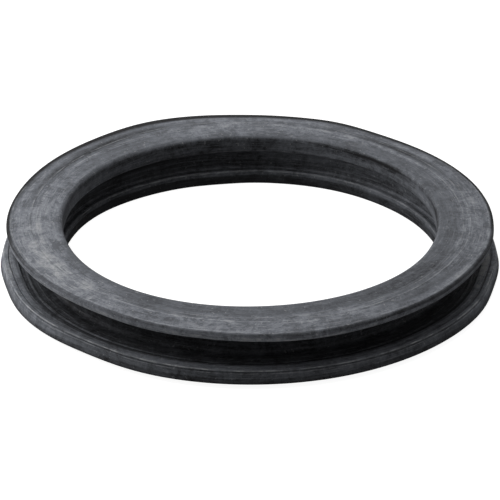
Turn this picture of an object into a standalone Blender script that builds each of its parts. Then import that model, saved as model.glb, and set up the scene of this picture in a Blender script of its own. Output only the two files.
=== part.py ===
"""Bath waste seal: one moulded rubber ring, turned from a single section.

The ring has an upper and a lower flange with a groove between them for the edge of the
bath, and a bore with an upper lip, a shallow recess and a lower lip. It lies on its
underside, with the origin at the centre of the underside and the axis of the ring on Z.
Lengths are in metres.
"""

import math

import bpy

MM = 0.001

# Radii, from the bore outwards
BORE_RADIUS = 23.95 * MM
LOWER_LIP_SETBACK = 0.2 * MM
RECESS_DEPTH = 1.25 * MM
WEB_THICKNESS = 1.3 * MM
UPPER_FLANGE_REACH = 4.55 * MM
LOWER_FLANGE_REACH = 5.5 * MM

# Heights, from the underside upwards
UNDERSIDE_RISE = 0.65 * MM
LOWER_EDGE_HEIGHT = 1.65 * MM
GROOVE_MOUTH = 3.85 * MM
UPPER_EDGE_HEIGHT = 0.95 * MM
TOP_CROWN = 0.15 * MM

# Upper flange
UPPER_LIP_HEIGHT = 2.3 * MM
UPPER_LIP_ROUND = 1.1 * MM
TOP_FLAT_WIDTH = 4.15 * MM
UPPER_EDGE_CHAMFER = 0.25 * MM
UPPER_EDGE_DRAFT = 0.1 * MM
UPPER_ROOT_DROP = 0.35 * MM

# Lower flange
LOWER_LIP_ROUND = 0.35 * MM
LOWER_LIP_LEDGE = 1.9 * MM
UNDERSIDE_FLAT_WIDTH = 3.7 * MM
LOWER_EDGE_DRAFT = 0.3 * MM
LOWER_EDGE_ROUND = 0.15 * MM
BEAD_WIDTH = 0.65 * MM
BEAD_STEP = 0.14 * MM
SHELF_WIDTH = 1.4 * MM
SHELF_STEP = 0.2 * MM

# Bore recess and groove corners
RECESS_TAPER = 0.8 * MM
LEDGE_TAPER = 0.1 * MM
GROOVE_FILLET = 0.6 * MM

TURN_STEPS = 96
ARC_STEP_DEGREES = 22.5
SHARP_ANGLE_DEGREES = 30.0

RUBBER_COLOUR = (0.085, 0.087, 0.094, 1.0)
RUBBER_ROUGHNESS = 0.62


def clear_scene():
    """Remove the startup scene's objects."""
    for obj in list(bpy.data.objects):
        bpy.data.objects.remove(obj, do_unlink=True)


def arc(centre_r, centre_z, radius, start_degrees, end_degrees):
    """Points of a round stretch of the section, both ends included."""
    count = max(2, math.ceil(abs(end_degrees - start_degrees) / ARC_STEP_DEGREES))
    points = []
    for i in range(count + 1):
        angle = math.radians(start_degrees + (end_degrees - start_degrees) * i / count)
        points.append((centre_r + radius * math.cos(angle), centre_z + radius * math.sin(angle)))
    return points


def section():
    """The ring's closed section as (radius, height), clockwise with the bore on the left."""
    lower_lip_r = BORE_RADIUS + LOWER_LIP_SETBACK
    recess_r = BORE_RADIUS + RECESS_DEPTH
    groove_r = recess_r + WEB_THICKNESS
    upper_r = groove_r + UPPER_FLANGE_REACH
    lower_r = groove_r + LOWER_FLANGE_REACH

    lower_edge_top = UNDERSIDE_RISE + LOWER_EDGE_HEIGHT
    upper_edge_bottom = lower_edge_top + GROOVE_MOUTH
    upper_edge_top = upper_edge_bottom + UPPER_EDGE_HEIGHT
    top = upper_edge_top + TOP_CROWN
    shelf = lower_edge_top - BEAD_STEP
    groove_floor = shelf - SHELF_STEP
    groove_roof = upper_edge_bottom - UPPER_ROOT_DROP

    upper_round = min(UPPER_LIP_ROUND, 0.8 * UPPER_LIP_HEIGHT)
    lower_round = min(LOWER_LIP_ROUND, 0.8 * LOWER_LIP_LEDGE)
    fillet = min(GROOVE_FILLET, 0.45 * (groove_roof - groove_floor))
    edge_round = min(LOWER_EDGE_ROUND, 0.4 * LOWER_EDGE_HEIGHT)
    flat_end = lower_lip_r + lower_round + UNDERSIDE_FLAT_WIDTH
    bead_r = lower_r - LOWER_EDGE_DRAFT - BEAD_WIDTH
    shelf_r = bead_r - BEAD_STEP - SHELF_WIDTH

    outline = arc(BORE_RADIUS + upper_round, top - upper_round, upper_round, 180, 90)
    outline.append((BORE_RADIUS + TOP_FLAT_WIDTH, top))
    outline.append((upper_r - UPPER_EDGE_CHAMFER, upper_edge_top))
    outline.append((upper_r, upper_edge_top - UPPER_EDGE_CHAMFER))
    outline.append((upper_r - UPPER_EDGE_DRAFT, upper_edge_bottom))
    outline += arc(groove_r + fillet, groove_roof - fillet, fillet, 90, 180)
    outline += arc(groove_r + fillet, groove_floor + fillet, fillet, 180, 270)
    outline.append((shelf_r - SHELF_STEP, groove_floor))
    outline.append((shelf_r, shelf))
    outline.append((bead_r - BEAD_STEP, shelf))
    outline.append((bead_r, lower_edge_top))
    outline += arc(lower_r - LOWER_EDGE_DRAFT - edge_round, lower_edge_top - edge_round, edge_round, 90, 30)
    outline.append((lower_r, UNDERSIDE_RISE))
    outline.append((flat_end, 0.0))
    outline += arc(lower_lip_r + lower_round, lower_round, lower_round, 270, 180)
    outline.append((lower_lip_r, LOWER_LIP_LEDGE))
    outline.append((recess_r, LOWER_LIP_LEDGE + LEDGE_TAPER))
    outline.append((recess_r, top - UPPER_LIP_HEIGHT - RECESS_TAPER))
    outline.append((BORE_RADIUS, top - UPPER_LIP_HEIGHT))
    return outline


def rubber():
    """Dull black rubber."""
    material = bpy.data.materials.new("black_rubber")
    material.use_nodes = True
    shader = material.node_tree.nodes["Principled BSDF"]
    shader.inputs["Base Color"].default_value = RUBBER_COLOUR
    shader.inputs["Roughness"].default_value = RUBBER_ROUGHNESS
    shader.inputs["Metallic"].default_value = 0.0
    return material


def turned_ring(name, outline, material):
    """A ring turned about Z from a closed outline."""
    points = [(r, 0.0, z) for r, z in outline]
    edges = [(i, (i + 1) % len(points)) for i in range(len(points))]
    mesh = bpy.data.meshes.new(name)
    mesh.from_pydata(points, edges, [])
    ring = bpy.data.objects.new(name, mesh)
    bpy.context.scene.collection.objects.link(ring)
    screw = ring.modifiers.new("turn", "SCREW")
    screw.axis = "Z"
    screw.angle = math.tau
    screw.steps = TURN_STEPS
    screw.render_steps = TURN_STEPS
    screw.use_merge_vertices = True
    screw.merge_threshold = 0.00001
    turned = bpy.data.meshes.new_from_object(ring.evaluated_get(bpy.context.evaluated_depsgraph_get()))
    ring.modifiers.remove(screw)
    ring.data = turned
    bpy.data.meshes.remove(mesh)
    turned.name = name
    turned.materials.append(material)
    turned.shade_smooth()
    turned.set_sharp_from_angle(angle=math.radians(SHARP_ANGLE_DEGREES))
    return ring


def main():
    clear_scene()
    turned_ring("seal_ring", section(), rubber())


main()
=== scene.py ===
"""A bath waste seal: one ring of black moulded rubber, dressed for its studio picture.

The ring is turned by Geometry Nodes from a section of rounded corners and finished with a
procedural rubber. Every size is in metres unless its name says otherwise.
"""

import logging
import math
from dataclasses import dataclass
from enum import Enum
from typing import Any, NamedTuple

import bpy
from mathutils import Matrix, Vector

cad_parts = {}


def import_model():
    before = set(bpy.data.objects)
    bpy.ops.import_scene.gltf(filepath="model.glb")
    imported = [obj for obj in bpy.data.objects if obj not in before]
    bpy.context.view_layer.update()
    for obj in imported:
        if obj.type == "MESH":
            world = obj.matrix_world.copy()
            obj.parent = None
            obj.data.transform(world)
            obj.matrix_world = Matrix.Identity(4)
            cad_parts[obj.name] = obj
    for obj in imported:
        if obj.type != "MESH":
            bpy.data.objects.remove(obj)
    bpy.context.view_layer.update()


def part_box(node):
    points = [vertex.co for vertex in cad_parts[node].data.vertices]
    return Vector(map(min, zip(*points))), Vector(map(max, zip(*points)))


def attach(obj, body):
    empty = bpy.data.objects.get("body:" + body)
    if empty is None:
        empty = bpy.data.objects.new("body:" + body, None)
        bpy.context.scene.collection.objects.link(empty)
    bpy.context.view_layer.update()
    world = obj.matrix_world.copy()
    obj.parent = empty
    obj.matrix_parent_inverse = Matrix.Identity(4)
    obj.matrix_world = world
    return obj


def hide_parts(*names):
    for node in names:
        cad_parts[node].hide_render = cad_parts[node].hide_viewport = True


MM = 0.001
NODE = "seal_ring"
BODY = "root"
WHITE = (1.0, 1.0, 1.0, 1.0)
HALF_TURN = 180.0

# How many half widths away a smear still shows
SMEAR_REACH = 3.0

# The value that a noise field varies about
NOISE_MIDDLE = 0.5

# Sockets of a Mix node that mixes colours
MIX_SHARE, MIX_FIRST, MIX_SECOND, MIX_RESULT = 0, 6, 7, 2

# Inputs of the tree that turns the ring
TREE_INPUTS = (
    ("Geometry", "NodeSocketGeometry"),
    ("Section", "NodeSocketObject"),
    ("Steps", "NodeSocketInt"),
    ("Bore Radius", "NodeSocketFloat"),
    ("Rim Radius", "NodeSocketFloat"),
    ("Height", "NodeSocketFloat"),
    ("Material", "NodeSocketMaterial"),
)

log = logging.getLogger("bath_waste_seal")


class Socket:
    """A node's output that takes part in Python expressions."""

    def __init__(self, tree: "Tree", link: bpy.types.NodeSocket) -> None:
        """Keep the tree that new nodes go into, and the output itself."""
        self.tree = tree
        self.link = link

    def _math(self, operation: str, first: Any, second: Any) -> "Socket":
        """Return the result of one Math node."""
        return self.tree.add("ShaderNodeMath", {"operation": operation}, {0: first, 1: second})

    def __add__(self, other: Any) -> "Socket":
        """Return self plus other."""
        return self._math("ADD", self, other)

    def __radd__(self, other: Any) -> "Socket":
        """Return other plus self."""
        return self._math("ADD", other, self)

    def __sub__(self, other: Any) -> "Socket":
        """Return self minus other."""
        return self._math("SUBTRACT", self, other)

    def __rsub__(self, other: Any) -> "Socket":
        """Return other minus self."""
        return self._math("SUBTRACT", other, self)

    def __mul__(self, other: Any) -> "Socket":
        """Return self times other."""
        return self._math("MULTIPLY", self, other)

    def __rmul__(self, other: Any) -> "Socket":
        """Return other times self."""
        return self._math("MULTIPLY", other, self)

    def __truediv__(self, other: Any) -> "Socket":
        """Return self over other."""
        return self._math("DIVIDE", self, other)

    def __mod__(self, other: Any) -> "Socket":
        """Return the remainder of self over other."""
        return self._math("MODULO", self, other)

    def most(self, other: Any) -> "Socket":
        """Return the larger of self and other."""
        return self._math("MAXIMUM", self, other)

    def function(self, operation: str) -> "Socket":
        """Return a one-sided function of self, such as SINE, COSINE or FLOOR."""
        return self.tree.add("ShaderNodeMath", {"operation": operation}, {0: self})

    def ramp(self, low: Any, high: Any, out_low: float = 0.0, out_high: float = 1.0) -> "Socket":
        """Return self carried smoothly from one range to another.

        Args:
            low: value of self where the result is out_low.
            high: value of self where the result is out_high.
            out_low: the result at low and beyond it.
            out_high: the result at high and beyond it.

        Returns:
            The clamped result.
        """
        settings = {"interpolation_type": "SMOOTHSTEP"}
        values = {"Value": self, "From Min": low, "From Max": high, "To Min": out_low, "To Max": out_high}
        return self.tree.add("ShaderNodeMapRange", settings, values)


class Tree:
    """A node tree that is wired from Python."""

    def __init__(self, nodes: bpy.types.NodeTree) -> None:
        """Keep the node tree."""
        self.nodes = nodes

    def node(self, kind: str, settings: dict[str, Any], values: dict[Any, Any]) -> bpy.types.Node:
        """Add a node.

        Args:
            kind: the node's type.
            settings: properties of the node, set before its sockets.
            values: a value, a Socket or a plain output for an input's name or number.

        Returns:
            The node.
        """
        made = self.nodes.nodes.new(kind)
        for name, value in settings.items():
            setattr(made, name, value)
        for key, value in values.items():
            target = made.inputs[key]
            if isinstance(value, Socket):
                self.nodes.links.new(value.link, target)
            elif isinstance(value, bpy.types.NodeSocket):
                self.nodes.links.new(value, target)
            else:
                target.default_value = value
        return made

    def add(self, kind: str, settings: dict[str, Any], values: dict[Any, Any], output: Any = 0) -> Socket:
        """Add a node and return one of its outputs.

        Args:
            kind: the node's type.
            settings: properties of the node.
            values: what its inputs get.
            output: name or number of the output.

        Returns:
            That output, ready for expressions.
        """
        return Socket(self, self.node(kind, settings, values).outputs[output])

    def vector(self, x: Any, y: Any, z: Any) -> Socket:
        """Return a vector made of three numbers."""
        return self.add("ShaderNodeCombineXYZ", {}, {0: x, 1: y, 2: z})

    def parts(self, vector: Any) -> tuple[Socket, Socket, Socket]:
        """Return a vector's three numbers."""
        x, y, z = self.node("ShaderNodeSeparateXYZ", {}, {0: vector}).outputs
        return Socket(self, x), Socket(self, y), Socket(self, z)


class Sway(NamedTuple):
    """A gentle wave round the ring: how many crests, how far out they reach, and where one is."""

    crests: int
    reach: float
    towards_degrees: float


class Dent(NamedTuple):
    """A place where the ring is pressed in, or bulges where its depth is below 0."""

    depth: float
    towards_degrees: float
    half_width_degrees: float


class SmearAndShading(NamedTuple):
    """A chalky place on the ring, a wiped one where its strength is below 0, or painted light and shade.
    """

    towards_degrees: float
    radius_mm: float
    height_mm: float
    half_width_degrees: float
    half_width_mm: float
    strength: float

    def amount(self, turn_degrees: float, radius: float, height: float) -> float:
        """Return how much the smear adds to the grey share at a place.

        Args:
            turn_degrees: the angle round the ring.
            radius: distance from the ring's axis.
            height: height above the underside.

        Returns:
            The grey share to add, which fades out round the smear's middle.
        """
        swing = (turn_degrees - self.towards_degrees + HALF_TURN) % (2 * HALF_TURN) - HALF_TURN
        round_off = swing / self.half_width_degrees
        if abs(round_off) > SMEAR_REACH:
            return 0.0
        out, up = radius - self.radius_mm * MM, height - self.height_mm * MM
        off = math.hypot(out, up) / (self.half_width_mm * MM)
        return self.strength * math.exp(-0.5 * (round_off * round_off + off * off))


class Region(Enum):
    """Where on the section a stretch lies, with the share of grey bloom that shows there.

    No two shares are the same, because names of one value would become one region. The shares are
    partly the rubber's bloom and partly painted light and shade: the top face is lighter, partly as
    painted sheen, and the chamfer of the upper flange's edge, the roof under the upper flange with
    the deep groove floor, and the lower lip near the floor are darker, as painted shade.
    """

    INNER_TOP = 0.58
    # Partly painted sheen on the top face
    TOP = 0.72
    # Painted shade on the chamfer of the upper flange's edge, which turns from the light
    EDGE = 0.27
    RIM = 0.92
    # Painted shade: no grey under the upper flange and on the deep groove floor
    ROOF = 0.0
    GROOVE = 0.135
    RIDGE = 0.18
    SHELF_FOOT = 0.29
    SHELF = 0.56
    BEAD = 0.49
    SKIRT = 0.34
    SKIRT_FOOT = 0.14
    UNDER = 0.15
    # Painted shade on the lower lip near the floor
    LOWER_LIP = 0.05
    LEDGE = 0.28
    RECESS = 0.11
    RECESS_TOP = 0.20
    UPPER_LIP = 0.19


class Corner(NamedTuple):
    """One corner of the section: its place, how round it is, and the region that follows it.

    Wear above 0 leaves a pale line on the corner's rounding, and below 0 a dark one; the dark lines on
    the deep groove floor and on the lower lip are painted shade. A fade above 0 is the share of the
    rounding that keeps the bloom of the region before it.
    """

    radius: float
    height: float
    round: float
    after: Region
    wear: float = 0.0
    fade: float = 0.0


@dataclass
class SealSection:
    """The ring's section with the bore on the left, clockwise from the upper lip.

    The outer radius and the height come from the part. The crease is the faint ring line on the top
    face, and the bead is the raised rim of the lower flange.
    """

    outer_radius: float
    height: float
    upper_radius: float = 31.05 * MM
    bore_radius: float = 23.95 * MM
    lower_lip_radius: float = 24.15 * MM
    recess_radius: float = 25.2 * MM
    web_radius: float = 26.5 * MM
    crown: float = 0.15 * MM
    upper_edge: float = 0.95 * MM
    upper_edge_draft: float = 0.1 * MM
    groove_mouth: float = 3.85 * MM
    root_drop: float = 0.35 * MM
    roof_round: float = 0.6 * MM
    floor_round: float = 0.5 * MM
    lower_edge: float = 1.65 * MM
    lower_edge_draft: float = 0.42 * MM
    bead_width: float = 0.65 * MM
    bead_step: float = 0.12 * MM
    seam_drop: float = 0.16 * MM
    shelf_radius: float = 29.82 * MM
    ridge_radius: float = 29.0 * MM
    shelf_step: float = 0.2 * MM
    rib_radius: float = 28.1 * MM
    crease_radius: float = 28.1 * MM
    crease_height: float = 0.04 * MM
    crease_half_width: float = 0.25 * MM
    upper_lip: float = 2.3 * MM
    upper_lip_round: float = 1.1 * MM
    lower_lip_round: float = 0.2 * MM
    ledge_height: float = 1.9 * MM
    recess_slope: float = 0.8 * MM
    underside_flat: float = 28.2 * MM
    underside_round: float = 0.6 * MM
    longest_stretch: float = 0.7 * MM
    bend_gap: float = 0.08 * MM
    bend_gap_share: float = 0.3
    bend_reach_share: float = 0.45
    arc_step_degrees: float = 14.0
    bloom_rise: float = 0.4

    def corners(self) -> list[Corner]:
        """Return the section's corners, with their roundings."""
        return self.upper_flange() + self.lower_flange() + self.bore()

    def upper_flange(self) -> list[Corner]:
        """Lay out the upper flange.

        Returns:
            The corners from the upper lip to the groove's roof.
        """
        top = self.height
        edge_top = top - self.crown
        edge_bottom = edge_top - self.upper_edge
        flat = top - self.crease_height
        crease, crease_foot = self.crease_radius, self.crease_half_width
        rim = self.upper_radius
        return [
            Corner(self.bore_radius, flat, self.upper_lip_round, Region.INNER_TOP, 0.0, 0.2),
            # A faint rubbed line, and the raised ring line
            Corner(crease - 1.3 * MM, flat, 0.0, Region.TOP),
            Corner(crease - 0.85 * MM, flat + 0.012 * MM, 0.0, Region.TOP, 0.7),
            Corner(crease - crease_foot, flat, 0.06 * MM, Region.TOP),
            Corner(crease, top, 0.08 * MM, Region.TOP, 0.7),
            Corner(crease + crease_foot, flat, 0.06 * MM, Region.TOP),
            # The outer part, with a rubbed line before the chamfer
            Corner(rim - 1.05 * MM, edge_top + 0.04 * MM, 0.0, Region.TOP),
            Corner(rim - 0.6 * MM, edge_top + 0.02 * MM, 0.05 * MM, Region.TOP, 0.6),
            # From here the edge is darker: painted shade where the chamfer turns from the light
            Corner(rim - 0.4 * MM, edge_top, 0.05 * MM, Region.EDGE),
            # The chamfer, the thin edge and the groove's roof, with painted shade on the chamfer and no
            # grey under the upper flange as painted shade
            Corner(rim - 0.2 * MM, edge_top - 0.04 * MM, 0.15 * MM, Region.EDGE),
            Corner(rim, edge_top - 0.36 * MM, 0.15 * MM, Region.RIM),
            Corner(rim - self.upper_edge_draft, edge_bottom, 0.1 * MM, Region.ROOF, 0.5),
            Corner(self.web_radius, edge_bottom - self.root_drop, self.roof_round, Region.GROOVE),
        ]

    def lower_flange(self) -> list[Corner]:
        """Lay out the lower flange.

        Returns:
            The corners from the groove's floor to the flat underside.
        """
        rim_top = self.height - self.crown - self.upper_edge - self.groove_mouth
        shelf = rim_top - self.bead_step
        floor = shelf - self.shelf_step
        edge = self.outer_radius - self.lower_edge_draft
        bead = edge - self.bead_width
        ridge = self.ridge_radius
        step = self.shelf_radius
        seam = rim_top - self.seam_drop
        return [
            # The groove's floor, with a fine rib and the low ridge
            Corner(self.web_radius, floor - 0.1 * MM, self.floor_round, Region.GROOVE),
            Corner(self.rib_radius, floor - 0.02 * MM, 0.1 * MM, Region.GROOVE, 0.2),
            Corner(ridge - 0.35 * MM, floor - 0.06 * MM, 0.1 * MM, Region.GROOVE),
            Corner(ridge, floor + 0.02 * MM, 0.1 * MM, Region.RIDGE, 0.15),
            # Past the ridge the groove's floor gets no grey and two dark lines: painted shade in the deep
            # groove
            Corner(ridge + 0.28 * MM, floor - 0.05 * MM, 0.06 * MM, Region.ROOF, -0.4),
            # The step up to the shelf
            Corner(step - 0.1 * MM, floor - 0.03 * MM, 0.05 * MM, Region.ROOF, -0.4),
            Corner(step, shelf, 0.08 * MM, Region.SHELF_FOOT),
            Corner(step + 0.4 * MM, shelf + 0.02 * MM, 0.0, Region.SHELF),
            # The fine line at the foot of the raised rim, and the rim
            Corner(bead - 0.16 * MM, shelf + 0.02 * MM, 0.05 * MM, Region.SHELF, -0.4),
            Corner(bead - 0.04 * MM, shelf - 0.03 * MM, 0.05 * MM, Region.SHELF, -0.7),
            Corner(bead + 0.1 * MM, rim_top - 0.02 * MM, 0.08 * MM, Region.BEAD),
            Corner(edge, rim_top + 0.02 * MM, 0.10 * MM, Region.SKIRT, 0.75),
            # The seam line of the mould on the sloping edge
            Corner(edge + 0.04 * MM, seam, 0.02 * MM, Region.SKIRT, -0.75),
            Corner(edge + 0.03 * MM, seam - 0.11 * MM, 0.02 * MM, Region.SKIRT, -0.75),
            Corner(edge + 0.1 * MM, seam - 0.17 * MM, 0.03 * MM, Region.SKIRT, 0.4),
            Corner(edge + 0.26 * MM, seam - 0.8 * MM, 0.0, Region.SKIRT_FOOT),
            # The foot of the edge and the underside
            Corner(self.outer_radius, rim_top - self.lower_edge, 0.12 * MM, Region.UNDER, -0.6),
            Corner(self.underside_flat, 0.0, self.underside_round, Region.UNDER),
        ]

    def bore(self) -> list[Corner]:
        """Lay out the bore.

        Returns:
            The corners from the lower lip up the bore to the upper lip's foot.
        """
        ledge = self.ledge_height
        lip = self.lower_lip_radius
        deep = self.recess_radius
        foot = self.height - self.upper_lip
        return [
            # The lower lip, and the ledge above it; the lip's low grey share and dark line are painted
            # shade near the floor
            Corner(lip, 0.0, self.lower_lip_round, Region.LOWER_LIP),
            Corner(lip, ledge - 0.9 * MM, 0.0, Region.LOWER_LIP, -0.3),
            Corner(lip, ledge - 0.6 * MM, 0.0, Region.LEDGE),
            Corner(lip, ledge, 0.14 * MM, Region.LEDGE, 0.3),
            Corner(lip + 0.35 * MM, ledge, 0.0, Region.RECESS, -0.4),
            # The fine steps at the foot of the recess
            Corner(deep - 0.35 * MM, ledge + 0.02 * MM, 0.08 * MM, Region.LEDGE, -0.3),
            Corner(deep - 0.04 * MM, ledge + 0.1 * MM, 0.1 * MM, Region.LEDGE, 0.2),
            Corner(deep - 0.04 * MM, ledge + 0.36 * MM, 0.05 * MM, Region.RECESS, -0.4),
            Corner(deep, ledge + 0.5 * MM, 0.05 * MM, Region.RECESS),
            Corner(deep - 0.03 * MM, ledge + 0.85 * MM, 0.05 * MM, Region.RECESS, 0.15),
            Corner(deep, ledge + 1.0 * MM, 0.05 * MM, Region.RECESS),
            # The recess, its sloping end and the wall of the upper lip
            Corner(deep, foot - 1.7 * MM, 0.0, Region.RECESS_TOP),
            Corner(deep, foot - self.recess_slope, 0.3 * MM, Region.RECESS_TOP),
            Corner(self.bore_radius, foot, 0.14 * MM, Region.UPPER_LIP, 0.15),
            Corner(self.bore_radius, foot + 0.75 * MM, 0.0, Region.UPPER_LIP),
        ]

    def rounded(self, before: Corner, corner: Corner, after: Corner) -> list[tuple[float, float]]:
        """Work out the points of one rounded corner.

        Args:
            before: the corner before it.
            corner: the corner that is rounded.
            after: the corner after it.

        Returns:
            Radius and height of each point, in order.
        """
        if not corner.round:
            return [(corner.radius, corner.height)]
        place = Vector((corner.radius, corner.height))
        back = Vector((before.radius, before.height)) - place
        onward = Vector((after.radius, after.height)) - place
        half = 0.5 * back.angle(onward)
        room = self.bend_reach_share * min(back.length, onward.length)
        reach = min(corner.round / math.tan(half), room)
        radius = reach * math.tan(half)
        between = (back.normalized() + onward.normalized()).normalized()
        centre = place + between * (radius / math.sin(half))
        first = place + back.normalized() * reach - centre
        turn = first.angle_signed(place + onward.normalized() * reach - centre)
        count = max(2, math.ceil(abs(math.degrees(turn)) / self.arc_step_degrees))
        points = []
        for i in range(count + 1):
            swung = Matrix.Rotation(-turn * i / count, 2) @ first + centre
            points.append((swung.x, swung.y))
        return points

    def mesh(self, name: str) -> bpy.types.Object:
        """Build the section as a closed line of edges in the XZ plane.

        Args:
            name: the object's name.

        Returns:
            An object whose points carry the grey share, bloom with painted light and shade, and the pale
            and dark line marks, wear and seams with painted shade.
        """
        corners = self.corners()
        points: list[tuple[float, float]] = []
        bloom: list[float] = []
        wear: list[float] = []
        for i, corner in enumerate(corners):
            before = corners[i - 1]
            bend = self.rounded(before, corner, corners[(i + 1) % len(corners)])
            if points:
                self.straight(points, bloom, wear, bend[0], before.after)
            points += bend
            for k in range(len(bend)):
                share = (k + 0.5) / len(bend)
                if corner.fade:
                    rise = min(1.0, max(0.0, (share - corner.fade) / self.bloom_rise))
                    share = rise * rise * (3.0 - 2.0 * rise)
                bloom.append(before.after.value + (corner.after.value - before.after.value) * share)
                wear.append(corner.wear)
        self.straight(points, bloom, wear, points[0], corners[-1].after)
        mesh = bpy.data.meshes.new(name)
        edges = [(i, (i + 1) % len(points)) for i in range(len(points))]
        mesh.from_pydata([(r, 0.0, z) for r, z in points], edges, [])
        for label, values in (("bloom", bloom), ("wear", wear)):
            mesh.attributes.new(label, "FLOAT", "POINT").data.foreach_set("value", values)
        return bpy.data.objects.new(name, mesh)

    def straight(
        self,
        points: list[tuple[float, float]],
        bloom: list[float],
        wear: list[float],
        end: tuple[float, float],
        region: Region,
    ) -> None:
        """Fill the stretch from the last point to end, with a point close to either bend.

        Args:
            points: the outline so far, which grows.
            bloom: the grey share at each point, bloom with painted light and shade, which grows.
            wear: the pale and dark line marks at each point, painted shade among them, which grows.
            end: the first point of the next bend.
            region: the region that the stretch lies in.
        """
        start = points[-1]
        length = math.dist(start, end)
        near = min(self.bend_gap, self.bend_gap_share * length)
        count = max(1, math.ceil((length - 2 * near) / self.longest_stretch))
        for i in range(count + 1):
            share = near / length + (1 - 2 * near / length) * i / count
            radius = start[0] + (end[0] - start[0]) * share
            height = start[1] + (end[1] - start[1]) * share
            points.append((radius, height))
            bloom.append(region.value)
            wear.append(0.0)


class Ramp(NamedTuple):
    """How a value is carried smoothly from one range to another, as Socket.ramp takes it."""

    low: float
    high: float
    out_low: float = 0.0
    out_high: float = 1.0


class Cloud(NamedTuple):
    """A noise field: its density, its finer layers with their strength, and how far it is warped.

    Round says how finely it changes round the ring, and across how finely in each millimetre across it.
    Where they are 0, the field lies evenly in space.
    """

    scale: float
    layers: float
    rough: float
    warp: float = 0.0
    round: float = 0.0
    across: float = 0.0


class Surface:
    """The places on a ring that its finish is laid out on."""

    def __init__(self, tree: Tree, climb: float) -> None:
        """Read the place on the piece.

        Args:
            tree: where the nodes go.
            climb: how fast the level across the ring rises with height, against radius.
        """
        place = tree.add("ShaderNodeTexCoord", {}, {}, "Object")
        x, y, z = tree.parts(place)
        radius = (x * x + y * y).function("SQRT")
        scaled = {0: place, "Scale": 1 / MM}
        self.tree = tree
        self.x_share = x / radius
        self.y_share = y / radius
        self.level = radius * (1 / MM) + z * (climb / MM)
        self.millimetres = tree.add("ShaderNodeVectorMath", {"operation": "SCALE"}, scaled)

    def noise(self, cloud: Cloud) -> Socket:
        """Make a noise field.

        Args:
            cloud: what the field is like.

        Returns:
            The field, which lies between about 0.2 and 0.8.
        """
        place = self.millimetres
        if cloud.round:
            x, y = self.x_share * cloud.round, self.y_share * cloud.round
            place = self.tree.vector(x, y, self.level * cloud.across)
        values = {"Vector": place, "Scale": cloud.scale, "Detail": cloud.layers}
        values |= {"Roughness": cloud.rough, "Distortion": cloud.warp}
        return self.tree.add("ShaderNodeTexNoise", {}, values)

    def carried(self, name: str) -> Socket:
        """Return the number of that name which the mesh carries at each point."""
        return self.tree.add("ShaderNodeAttribute", {"attribute_name": name}, {}, "Fac")

    def mix(self, share: Socket, first: Any, second: Any) -> Socket:
        """Blend two colours.

        Args:
            share: 0 for the first colour and 1 for the second.
            first: a colour or a socket.
            second: a colour or a socket.

        Returns:
            The blended colour.
        """
        whole = [(*c, 1.0) if isinstance(c, tuple) else c for c in (first, second)]
        values = {MIX_SHARE: share, MIX_FIRST: whole[0], MIX_SECOND: whole[1]}
        return self.tree.add("ShaderNodeMix", {"data_type": "RGBA"}, values, MIX_RESULT)


class Pattern(NamedTuple):
    """The fields that the rubber's colour, gloss and relief share."""

    mottle: Socket
    smear: Socket
    streak: Socket
    thread: Socket
    bloom: Socket
    wear: Socket


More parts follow.
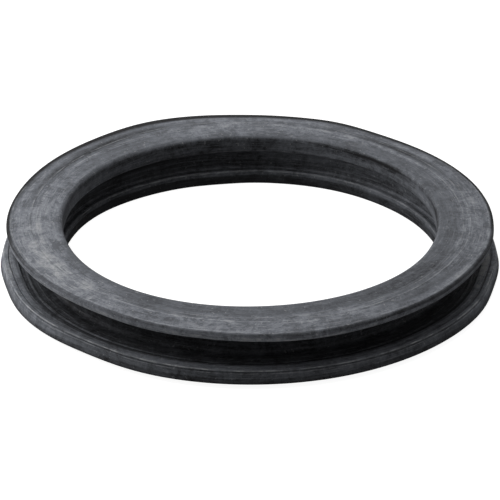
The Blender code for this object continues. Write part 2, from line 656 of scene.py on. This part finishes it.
@dataclass(frozen=True)
class RubberFinish:
    """Dull black rubber with a cloudy grey bloom, fine turned rings and pale specks.

    A weight is how strongly a field changes the bloom, and a relief how far it raises the surface. The
    ramps that read the bloom make the light places calmer than the dark ones. The grey share that they
    read is partly bloom and partly painted light and shade, and the grey partly stands in for the top
    face's sheen, which the low specular leaves out: painted sheen.
    """

    name: str = "black_rubber"
    dark: tuple[float, float, float] = (0.0100, 0.0100, 0.0108)
    # Partly painted sheen: lightened to stand in for the top face's gloss, which the low specular leaves
    # out
    grey: tuple[float, float, float] = (0.180, 0.190, 0.212)
    pale: tuple[float, float, float] = (0.34, 0.345, 0.35)
    roughness: float = 0.62
    specular: float = 0.08
    climb: float = 1.7
    mottle: Cloud = Cloud(0.30, 5.0, 0.95, 0.5)
    smear: Cloud = Cloud(1.0, 4.0, 0.85, 0.6, 11.0, 1.1)
    streak: Cloud = Cloud(1.0, 4.0, 0.6, 0.0, 3.0, 1.7)
    thread: Cloud = Cloud(1.0, 2.0, 0.5, 0.0, 10.0, 6.5)
    grain: Cloud = Cloud(1.4, 3.0, 0.75)
    speck: Cloud = Cloud(2.7, 1.0, 0.5)
    mottle_weight: float = 3.0
    smear_weight: float = 1.2
    streak_weight: float = 1.1
    grain_weight: float = 0.9
    thread_weight: Ramp = Ramp(0.1, 0.5, 1.5, 0.7)
    contrast: Ramp = Ramp(0.02, 0.58, 2.1, 0.75)
    top_contrast: Ramp = Ramp(0.58, 0.70, 0.0, 0.55)
    least_share: Ramp = Ramp(0.3, 0.62, 0.0, 0.62)
    rub_breaks: Ramp = Ramp(0.36, 0.60, 0.1, 1.0)
    rub_fades: Ramp = Ramp(0.38, 0.58, 0.15, 0.9)
    rub_shows: Ramp = Ramp(0.0, 0.08)
    ticks: Ramp = Ramp(0.60, 0.74, 0.0, 0.4)
    specks: Ramp = Ramp(0.67, 0.77, 0.0, 0.6)
    speck_least: float = 0.14
    line_breaks: Ramp = Ramp(0.3, 0.7, 1.0, 0.6)
    mottle_relief: float = 0.9
    thread_relief: float = 0.25
    streak_relief: float = 0.3
    relief_strength: float = 0.3
    relief_depth: float = 0.05 * MM
    gloss_spread: Ramp = Ramp(0.3, 0.7, -0.06, 0.1)

    def build(self) -> bpy.types.Material:
        """Make the material.

        Returns:
            The material, which reads the mesh's attributes bloom and wear.
        """
        material = bpy.data.materials.new(self.name)
        material.use_nodes = True
        tree = Tree(material.node_tree)
        shader = material.node_tree.nodes["Principled BSDF"]
        surface = Surface(tree, self.climb)
        pattern = Pattern(
            surface.noise(self.mottle),
            surface.noise(self.smear),
            surface.noise(self.streak),
            surface.noise(self.thread),
            surface.carried("bloom"),
            surface.carried("wear"),
        )
        colour = self.marked(surface, pattern, self.clouded(surface, pattern))
        spread = self.gloss_spread
        low, high = self.roughness + spread.out_low, self.roughness + spread.out_high
        rough = pattern.mottle.ramp(spread.low, spread.high, low, high)

        tree.nodes.links.new(colour.link, shader.inputs["Base Color"])
        tree.nodes.links.new(rough.link, shader.inputs["Roughness"])
        tree.nodes.links.new(self.relief(tree, pattern).link, shader.inputs["Normal"])
        shader.inputs["Metallic"].default_value = 0.0
        shader.inputs["Specular IOR Level"].default_value = self.specular
        return material

    def clouded(self, surface: Surface, pattern: Pattern) -> Socket:
        """Lay the grey bloom on the black.

        Args:
            surface: the places on the ring.
            pattern: the fields that the finish shares.

        Returns:
            The colour of the rubber under its marks, with its painted light and shade.
        """
        mottle, smear, streak, thread, bloom, _ = pattern
        contrast = bloom.ramp(*self.contrast) + bloom.ramp(*self.top_contrast)
        patches = (mottle - NOISE_MIDDLE) * self.mottle_weight
        patches = patches + (smear - NOISE_MIDDLE) * self.smear_weight
        patches = patches + (streak - NOISE_MIDDLE) * self.streak_weight
        patches = patches + (thread - NOISE_MIDDLE) * bloom.ramp(*self.thread_weight)
        patches = patches + (surface.noise(self.grain) - NOISE_MIDDLE) * self.grain_weight
        share = bloom * (patches * contrast + 1.0).most(bloom.ramp(*self.least_share))
        clouds = surface.mix(share, self.dark, self.grey)
        return surface.mix((share - 1.0).most(0.0), clouds, self.pale)

    def marked(self, surface: Surface, pattern: Pattern, body: Socket) -> Socket:
        """Add the rubbed edges, the pale ticks and specks and the dark lines.

        Args:
            surface: the places on the ring.
            pattern: the fields that the finish shares.
            body: the colour under them.

        Returns:
            The finished colour.
        """
        thread, bloom, wear = pattern.thread, pattern.bloom, pattern.wear
        broken = thread.ramp(*self.rub_breaks) * pattern.smear.ramp(*self.rub_fades)
        rubbed = wear.most(0.0) * broken * bloom.ramp(*self.rub_shows)
        ticks = thread.ramp(*self.ticks) * bloom
        specks = surface.noise(self.speck).ramp(*self.specks) * (bloom + self.speck_least)
        chalked = surface.mix(rubbed.most(ticks).most(specks), body, self.pale)
        shaded = (wear * -1.0).most(0.0) * thread.ramp(*self.line_breaks)
        return surface.mix(shaded, chalked, self.dark)

    def relief(self, tree: Tree, pattern: Pattern) -> Socket:
        """Make the fine relief.

        Args:
            tree: where the nodes go.
            pattern: the fields that the finish shares.

        Returns:
            The normal that follows it.
        """
        raised = pattern.mottle * self.mottle_relief + pattern.thread * self.thread_relief
        raised = raised + pattern.streak * self.streak_relief
        values = {"Strength": self.relief_strength, "Distance": self.relief_depth, "Height": raised}
        return tree.add("ShaderNodeBump", {}, values)


@dataclass
class SealRing:
    """The moulded ring itself, turned from its section.

    Edge sways and dents move the upper flange's edge, lip sways its lip, lower dents the lower flange,
    rim dents only its rim, and foot dents the lower lip. The rim dents set in between two shares of the
    rim's radius, and the moves of the flanges meet between two shares of the height.
    """

    section: SealSection
    finish: RubberFinish
    steps: int = 332
    edge_sway: tuple[Sway, ...] = (Sway(2, 0.41 * MM, 118.0), Sway(4, 0.31 * MM, 14.0))
    lip_sway: tuple[Sway, ...] = (Sway(2, 0.15 * MM, 54.0), Sway(4, 0.11 * MM, 54.0))
    edge_dents: tuple[Dent, ...] = (
        Dent(-0.50 * MM, 68.0, 9.5),
        Dent(0.25 * MM, 93.0, 9.0),
        Dent(-0.38 * MM, 117.0, 11.0),
        Dent(-0.20 * MM, 147.0, 18.0),
        Dent(-0.34 * MM, 247.0, 11.0),
        Dent(0.36 * MM, 301.0, 17.0),
        Dent(-0.20 * MM, 346.0, 8.0),
    )
    lower_dents: tuple[Dent, ...] = (
        Dent(0.30 * MM, 194.0, 9.0),
        Dent(0.12 * MM, 312.0, 24.0),
        Dent(0.34 * MM, 347.0, 9.0),
    )
    rim_dents: tuple[Dent, ...] = (Dent(0.44 * MM, 231.0, 12.0),)
    foot_dents: tuple[Dent, ...] = (
        Dent(-0.60 * MM, 22.0, 38.0),
        Dent(-0.20 * MM, 62.0, 16.0),
        Dent(0.20 * MM, 100.0, 9.0),
        Dent(-0.42 * MM, 147.0, 20.0),
    )
    smears_and_shading: tuple[SmearAndShading, ...] = (
        # On the top face: chalky and wiped places, partly painted light and shade, lighter towards the
        # left lamp and darker at the right
        SmearAndShading(212.0, 28.0, 7.2, 15.0, 1.8, 0.38),
        SmearAndShading(190.0, 27.0, 7.2, 14.0, 2.2, 0.14),
        SmearAndShading(168.0, 26.0, 7.2, 14.0, 1.2, 0.12),
        SmearAndShading(85.0, 25.9, 7.2, 28.0, 1.0, 0.14),
        SmearAndShading(2.0, 28.4, 7.2, 12.0, 1.0, 0.10),
        SmearAndShading(42.0, 29.8, 7.2, 10.0, 0.9, 0.14),
        SmearAndShading(149.0, 28.35, 7.2, 14.0, 0.45, -0.42),
        SmearAndShading(122.0, 28.35, 7.2, 16.0, 0.5, -0.34),
        SmearAndShading(100.0, 28.4, 7.2, 10.0, 0.5, -0.20),
        SmearAndShading(75.0, 28.35, 7.2, 9.0, 0.5, -0.26),
        SmearAndShading(55.0, 26.8, 7.2, 11.0, 0.45, 0.30),
        SmearAndShading(43.0, 29.2, 7.2, 8.0, 0.35, 0.50),
        SmearAndShading(60.0, 29.1, 7.2, 10.0, 0.45, 0.26),
        SmearAndShading(57.0, 27.1, 7.2, 11.0, 0.45, 0.24),
        SmearAndShading(38.0, 27.0, 7.2, 7.0, 0.35, 0.34),
        SmearAndShading(178.0, 26.2, 7.2, 14.0, 0.9, 0.14),
        SmearAndShading(178.0, 28.65, 7.2, 8.0, 0.25, -0.22),
        SmearAndShading(213.0, 25.2, 7.2, 8.0, 0.7, -0.25),
        SmearAndShading(241.0, 27.4, 7.2, 8.0, 0.5, -0.14),
        SmearAndShading(257.0, 29.5, 7.2, 11.0, 0.45, -0.24),
        SmearAndShading(288.0, 29.75, 7.2, 9.0, 0.45, -0.26),
        SmearAndShading(316.0, 29.2, 7.2, 8.0, 0.45, -0.26),
        SmearAndShading(334.0, 30.1, 7.2, 12.0, 0.35, 0.25),
        SmearAndShading(40.0, 27.9, 7.2, 9.0, 0.8, -0.26),
        SmearAndShading(241.0, 27.2, 7.2, 7.0, 2.5, -0.22),
        SmearAndShading(322.0, 27.0, 7.2, 13.0, 2.4, -0.22),
        SmearAndShading(292.0, 25.9, 7.2, 18.0, 1.0, -0.12),
        SmearAndShading(96.0, 27.0, 7.2, 14.0, 1.6, 0.12),
        SmearAndShading(126.0, 27.6, 7.2, 12.0, 1.6, -0.14),
        SmearAndShading(224.0, 28.4, 7.2, 12.0, 1.8, 0.18),
        SmearAndShading(258.0, 28.1, 7.25, 11.0, 0.08, 0.7),
        SmearAndShading(300.0, 28.5, 7.2, 28.0, 0.45, 0.16),
        SmearAndShading(12.0, 28.9, 7.2, 12.0, 0.25, 0.20),
        SmearAndShading(268.0, 29.8, 7.2, 22.0, 1.1, 0.24),
        SmearAndShading(48.0, 28.4, 7.2, 14.0, 1.8, -0.36),
        SmearAndShading(92.0, 28.6, 7.2, 18.0, 1.4, 0.22),
        # Along the upper flange's edge, painted light and shade: a dark outline along the back where the
        # chamfer turns from the light, a painted highlight just inside the edge at the right, and the rim
        # lighter at the left and darker at the right front
        SmearAndShading(108.0, 30.70, 7.05, 38.0, 0.37, -2.0),
        SmearAndShading(102.0, 30.45, 7.1, 21.0, 0.34, -2.3),
        SmearAndShading(46.0, 30.74, 7.05, 22.0, 0.28, -2.0),
        SmearAndShading(165.0, 30.95, 6.8, 22.0, 0.20, -0.6),
        SmearAndShading(28.0, 30.32, 7.1, 24.0, 0.14, 0.6),
        SmearAndShading(205.0, 31.0, 6.3, 30.0, 0.5, 0.08),
        SmearAndShading(330.0, 31.0, 6.4, 30.0, 0.5, -0.22),
        # In the bore, partly painted light and shade: the right wall, which faces the left lamp, lighter,
        # the recess at the left darker, and a painted highlight along the foot of the upper lip at the
        # left
        SmearAndShading(24.0, 24.0, 6.4, 12.0, 0.25, 0.40),
        SmearAndShading(6.0, 24.2, 6.7, 8.0, 0.5, -0.30),
        SmearAndShading(57.0, 25.2, 4.4, 12.0, 0.8, 0.10),
        SmearAndShading(16.0, 23.95, 5.6, 14.0, 0.25, 0.40),
        SmearAndShading(42.0, 24.0, 6.5, 13.0, 0.16, -0.5),
        SmearAndShading(60.0, 24.3, 5.6, 14.0, 0.8, 0.12),
        SmearAndShading(68.0, 25.2, 4.0, 10.0, 1.1, 0.14),
        SmearAndShading(146.0, 23.95, 5.75, 24.0, 0.3, 0.20),
        SmearAndShading(130.0, 25.2, 4.2, 24.0, 0.6, -0.2),
        SmearAndShading(50.0, 24.15, 1.55, 28.0, 0.3, 0.14),
        SmearAndShading(44.0, 25.2, 4.0, 14.0, 1.1, -0.05),
        SmearAndShading(164.0, 23.95, 4.97, 17.0, 0.12, 0.70),
        SmearAndShading(166.0, 25.2, 4.2, 14.0, 0.6, -0.14),
        SmearAndShading(20.0, 25.2, 4.2, 10.0, 0.7, 0.12),
        SmearAndShading(160.0, 23.95, 6.0, 12.0, 0.4, 0.14),
        SmearAndShading(12.0, 25.0, 3.4, 34.0, 2.0, 0.26),
        # On the lower flange, partly painted light: the shelf at the right lightened in the shade of the
        # upper flange, and the edge at the left lighter where the left lamp falls
        # Painted light on the shelf in the shade of the upper flange
        SmearAndShading(355.0, 30.2, 2.1, 11.0, 0.4, 1.80),
        SmearAndShading(358.0, 28.9, 2.0, 9.0, 0.5, 0.20),
        SmearAndShading(351.0, 31.6, 2.0, 15.0, 0.45, 0.75),
        SmearAndShading(343.0, 30.95, 2.2, 16.0, 0.12, -0.6),
        SmearAndShading(212.0, 29.6, 2.0, 12.0, 0.25, 0.18),
        SmearAndShading(226.0, 30.5, 2.15, 15.0, 0.6, -0.40),
        SmearAndShading(213.0, 31.7, 1.3, 13.0, 0.35, 0.30),
        SmearAndShading(212.0, 31.2, 2.25, 11.0, 0.22, -0.22),
        SmearAndShading(192.0, 29.5, 2.05, 8.0, 0.15, 0.40),
        SmearAndShading(315.0, 28.6, 2.0, 16.0, 0.8, -0.08),
        SmearAndShading(316.0, 30.7, 2.2, 14.0, 0.22, -0.18),
        SmearAndShading(240.0, 29.1, 2.0, 20.0, 0.12, 0.12),
        SmearAndShading(270.0, 28.6, 2.0, 18.0, 1.4, 0.05),
        SmearAndShading(325.0, 31.8, 1.5, 28.0, 0.6, 0.06),
        SmearAndShading(188.0, 31.4, 2.1, 24.0, 0.6, 0.65),
        SmearAndShading(340.0, 31.4, 2.1, 40.0, 1.0, -0.07),
        SmearAndShading(200.0, 30.0, 2.1, 20.0, 0.8, 0.08),
    )
    rim_dent_zone: tuple[float, float] = (0.93, 1.02)
    flange_change: tuple[float, float] = (0.35, 0.75)
    merge_distance: float = 0.001 * MM
    name: str = "rubber_ring"

    def build(self) -> bpy.types.Object:
        """Build, dress and place the ring.

        Returns:
            The ring, riding on the part's body.
        """
        profile = self.section.mesh("section_line")
        bpy.context.scene.collection.objects.link(profile)
        ring = bpy.data.objects.new(self.name, bpy.data.meshes.new(self.name + "_seed"))
        bpy.context.scene.collection.objects.link(ring)
        material = self.finish.build()
        modifier = ring.modifiers.new("turn", "NODES")
        modifier.node_group = self.turning_tree()
        values = {
            "Section": profile,
            "Steps": self.steps,
            "Bore Radius": self.section.bore_radius,
            "Rim Radius": self.section.upper_radius,
            "Height": self.section.height,
            "Material": material,
        }
        for item in modifier.node_group.interface.items_tree:
            if item.in_out == "INPUT" and item.name in values:
                modifier[item.identifier] = values[item.name]
        evaluated = ring.evaluated_get(bpy.context.evaluated_depsgraph_get())
        mesh = bpy.data.meshes.new_from_object(evaluated)
        ring.modifiers.remove(modifier)
        ring.data = mesh
        mesh.name = self.name
        self.smear(mesh)
        bpy.data.objects.remove(profile)
        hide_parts(NODE)
        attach(ring, BODY)
        return ring

    def smear(self, mesh: bpy.types.Mesh) -> None:
        """Add the chalky and wiped places and the painted light and shade to the points' grey share.

        Args:
            mesh: the ring's mesh, whose grey share changes.
        """
        bloom = mesh.attributes["bloom"].data
        reach = mesh.attributes["reach"].data
        for vertex, shown, radius in zip(mesh.vertices, bloom, reach):
            x, y, height = vertex.co
            turn = math.degrees(math.atan2(y, x))
            added = sum(smear.amount(turn, radius.value, height) for smear in self.smears_and_shading)
            shown.value = max(0.0, shown.value + added)

    def turning_tree(self) -> bpy.types.NodeTree:
        """Make the Geometry Nodes tree that turns a section about Z.

        Returns:
            The tree, whose inputs are those of TREE_INPUTS.
        """
        group = bpy.data.node_groups.new("turned_ring", "GeometryNodeTree")
        for name, kind in TREE_INPUTS:
            group.interface.new_socket(name, in_out="INPUT", socket_type=kind)
        group.interface.new_socket("Geometry", in_out="OUTPUT", socket_type="NodeSocketGeometry")
        tree = Tree(group)
        given = group.nodes.new("NodeGroupInput").outputs
        steps = Socket(tree, given["Steps"])
        line = tree.add("GeometryNodeObjectInfo", {}, {"Object": given["Section"]}, "Geometry")
        count = tree.add("GeometryNodeAttributeDomainSize", {}, {"Geometry": line}, "Point Count")
        row = count + 1
        sizes = {"Vertices X": steps + 1, "Vertices Y": row}
        sheet = tree.add("GeometryNodeMeshGrid", {}, sizes, "Mesh")
        index = tree.add("GeometryNodeInputIndex", {}, {})
        point = (index % row) % count
        turn = ((index / row).function("FLOOR") / steps) * math.tau
        position = tree.add("GeometryNodeInputPosition", {}, {})
        radius, _, height = tree.parts(self.sampled(tree, line, position, point, "FLOAT_VECTOR"))
        swayed = self.swayed(tree, given, turn, radius, height)
        placed = tree.vector(swayed * turn.function("COSINE"), swayed * turn.function("SINE"), height)
        solid = tree.add("GeometryNodeSetPosition", {}, {"Geometry": sheet, "Position": placed})
        kept = {"reach": radius}
        for label in ("bloom", "wear"):
            value = tree.add("GeometryNodeInputNamedAttribute", {"data_type": "FLOAT"}, {"Name": label})
            kept[label] = self.sampled(tree, line, value, point, "FLOAT")
        stored = {"data_type": "FLOAT", "domain": "POINT"}
        for label, amount in kept.items():
            values = {"Geometry": solid, "Name": label, "Value": amount}
            solid = tree.add("GeometryNodeStoreNamedAttribute", stored, values)
        values = {"Geometry": solid, "Distance": self.merge_distance}
        closed = tree.add("GeometryNodeMergeByDistance", {}, values)
        outside = tree.add("GeometryNodeFlipFaces", {}, {"Mesh": closed})
        smooth = tree.add("GeometryNodeSetShadeSmooth", {}, {"Geometry": outside})
        real = tree.add("GeometryNodeRealizeInstances", {}, {"Geometry": smooth})
        values = {"Geometry": real, "Material": given["Material"]}
        dressed = tree.add("GeometryNodeSetMaterial", {}, values)
        tree.node("NodeGroupOutput", {}, {"Geometry": dressed})
        return group

    def swayed(self, tree: Tree, given: Any, turn: Socket, radius: Socket, height: Socket) -> Socket:
        """Move each point in or out, because the soft ring lies slightly out of round.

        Args:
            tree: where the nodes go.
            given: the tree's named inputs.
            turn: the angle round the ring in radians.
            radius: the point's radius in the section.
            height: the point's height in the section.

        Returns:
            The radius that the point moves to.
        """
        rim, tall = Socket(tree, given["Rim Radius"]), Socket(tree, given["Height"])
        outward = radius.ramp(given["Bore Radius"], rim)
        near_rim = radius.ramp(*(rim * share for share in self.rim_dent_zone))
        upward = height.ramp(*(tall * share for share in self.flange_change))
        lip, edge = self.wave(turn, self.lip_sway), self.wave(turn, self.edge_sway)
        upper = lip + (edge + self.pressed(turn, self.edge_dents) - lip) * outward
        foot = self.pressed(turn, self.foot_dents)
        lower = foot + (self.pressed(turn, self.lower_dents) - foot) * outward
        lower = lower + self.pressed(turn, self.rim_dents) * near_rim
        return radius + lower + (upper - lower) * upward

    @staticmethod
    def wave(turn: Socket, sways: tuple[Sway, ...]) -> Any:
        """Add up how far waves move the ring outwards at each turn.

        Args:
            turn: the angle round the ring in radians.
            sways: the waves.

        Returns:
            The distance in metres.
        """
        total = 0.0
        for sway in sways:
            crest = (turn - math.radians(sway.towards_degrees)) * float(sway.crests)
            total = total + crest.function("COSINE") * sway.reach
        return total

    @staticmethod
    def pressed(turn: Socket, dents: tuple[Dent, ...]) -> Any:
        """Add up how far dents move the ring outwards at each turn.

        Args:
            turn: the angle round the ring in radians.
            dents: the dents and bulges.

        Returns:
            The distance in metres, below 0 where the ring is pressed in.
        """
        total = 0.0
        for dent in dents:
            across = (turn - math.radians(dent.towards_degrees)).function("COSINE") - 1.0
            width = 1.0 - math.cos(math.radians(dent.half_width_degrees))
            total = total - (across / width).function("EXPONENT") * dent.depth
        return total

    @staticmethod
    def sampled(tree: Tree, line: Socket, value: Socket, index: Socket, kind: str) -> Socket:
        """Read a value at one point of the section.

        Args:
            tree: where the node goes.
            line: the section's geometry.
            value: the field that is read.
            index: which point.
            kind: the field's data type.

        Returns:
            The value at that point.
        """
        settings = {"data_type": kind, "domain": "POINT"}
        values = {"Geometry": line, "Value": value, "Index": index}
        return tree.add("GeometryNodeSampleIndex", settings, values)


class Lamp(NamedTuple):
    """A square soft lamp that faces the ring, its reach and size as shares of the ring's width."""

    name: str
    direction: tuple[float, float, float]
    reach: float
    size: float
    watts: float


@dataclass
class Studio:
    """A plain pale floor, soft lamps and the camera at the photograph's angle.

    The lens is given in pixels of the photograph's frame, and the span is the ring's width.
    """

    span: float
    aim_height: float = 2.25 * MM
    distance: float = 384.9 * MM
    elevation_degrees: float = 27.23
    roll_degrees: float = 0.18
    lens_pixels: float = 3004.0
    frame_pixels: float = 500.0
    sensor_width: float = 36.0
    nearest_seen: float = 10.0 * MM
    ambient: float = 0.22
    floor_glow: float = 0.93
    floor_grey: float = 0.34
    floor_reach: float = 60.0
    lamps: tuple[Lamp, ...] = (
        Lamp("overhead_softbox", (-0.2, 0.05, 1.0), 7.0, 7.0, 1.1),
        Lamp("left_softbox", (-1.0, 0.2, 0.5), 3.0, 2.0, 0.3),
    )

    @property
    def centre(self) -> Vector:
        """Return the point that the camera and the lamps face."""
        return Vector((0.0, 0.0, self.aim_height))

    def build(self) -> None:
        """Make the camera, the lamps, the floor and the surroundings."""
        self.camera()
        for lamp in self.lamps:
            self.hang(lamp)
        self.floor()
        self.surroundings()
        bpy.context.scene.view_settings.view_transform = "Standard"

    def camera(self) -> None:
        """Place the camera and make it the scene's own."""
        data = bpy.data.cameras.new("camera")
        data.sensor_width = self.sensor_width
        data.lens = self.lens_pixels / self.frame_pixels * data.sensor_width
        data.clip_start = self.nearest_seen
        camera = bpy.data.objects.new("camera", data)
        bpy.context.scene.collection.objects.link(camera)
        rise = math.radians(self.elevation_degrees)
        away = Vector((0.0, -math.cos(rise), math.sin(rise)))
        roll = Matrix.Rotation(math.radians(self.roll_degrees), 3, "Z")
        turned = (-away).to_track_quat("-Z", "Y").to_matrix() @ roll
        place = Matrix.Translation(self.centre + away * self.distance)
        camera.matrix_world = place @ turned.to_4x4()
        bpy.context.scene.camera = camera

    def hang(self, lamp: Lamp) -> None:
        """Hang one lamp.

        Args:
            lamp: what the lamp is like.
        """
        data = bpy.data.lights.new(lamp.name, "AREA")
        data.size = lamp.size * self.span
        data.energy = lamp.watts
        light = bpy.data.objects.new(lamp.name, data)
        bpy.context.scene.collection.objects.link(light)
        direction = Vector(lamp.direction)
        light.location = self.centre + direction.normalized() * (lamp.reach * self.span)
        light.rotation_euler = (-direction).to_track_quat("-Z", "Y").to_euler()

    def floor(self) -> None:
        """Lay the pale floor under the ring, clear when it is seen from underneath."""
        half = self.floor_reach * self.span
        mesh = bpy.data.meshes.new("floor")
        corners = [(-half, -half, 0.0), (half, -half, 0.0), (half, half, 0.0), (-half, half, 0.0)]
        mesh.from_pydata(corners, [], [(0, 1, 2, 3)])
        floor = bpy.data.objects.new("floor", mesh)
        bpy.context.scene.collection.objects.link(floor)
        material = bpy.data.materials.new("pale_floor")
        material.use_nodes = True
        tree = Tree(material.node_tree)
        shader = material.node_tree.nodes["Principled BSDF"]
        seen = tree.add("ShaderNodeLightPath", {}, {}, "Is Camera Ray")
        underneath = tree.add("ShaderNodeNewGeometry", {}, {}, "Backfacing")
        grey = self.floor_grey
        shader.inputs["Base Color"].default_value = (grey, grey, grey, 1.0)
        shader.inputs["Roughness"].default_value = 1.0
        shader.inputs["Specular IOR Level"].default_value = 0.0
        shader.inputs["Emission Color"].default_value = WHITE
        tree.nodes.links.new((seen * self.floor_glow).link, shader.inputs["Emission Strength"])
        tree.nodes.links.new((1.0 - underneath).link, shader.inputs["Alpha"])
        mesh.materials.append(material)

    def surroundings(self) -> None:
        """Make the surroundings white to the eye and in gloss, and dimmer as a light."""
        world = bpy.data.worlds.new("studio")
        world.use_nodes = True
        bpy.context.scene.world = world
        tree = Tree(world.node_tree)
        path = tree.node("ShaderNodeLightPath", {}, {}).outputs
        shown = Socket(tree, path["Is Camera Ray"]).most(Socket(tree, path["Is Glossy Ray"]))
        shown = shown.most(Socket(tree, path["Is Transmission Ray"]))
        strength = shown * (1.0 - self.ambient) + self.ambient
        background = world.node_tree.nodes["Background"]
        background.inputs["Color"].default_value = WHITE
        tree.nodes.links.new(strength.link, background.inputs["Strength"])


def main() -> None:
    """Load the part, dress it and set up its picture."""
    logging.basicConfig(level=logging.INFO, format="%(message)s")
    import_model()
    low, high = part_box(NODE)
    section = SealSection(outer_radius=high.x, height=high.z - low.z)
    ring = SealRing(section, RubberFinish()).build()
    log.info("%s: %d faces", ring.name, len(ring.data.polygons))
    Studio(span=high.x - low.x).build()
    log.info("studio: camera, lamps and floor")


if __name__ == "__main__":
    main()
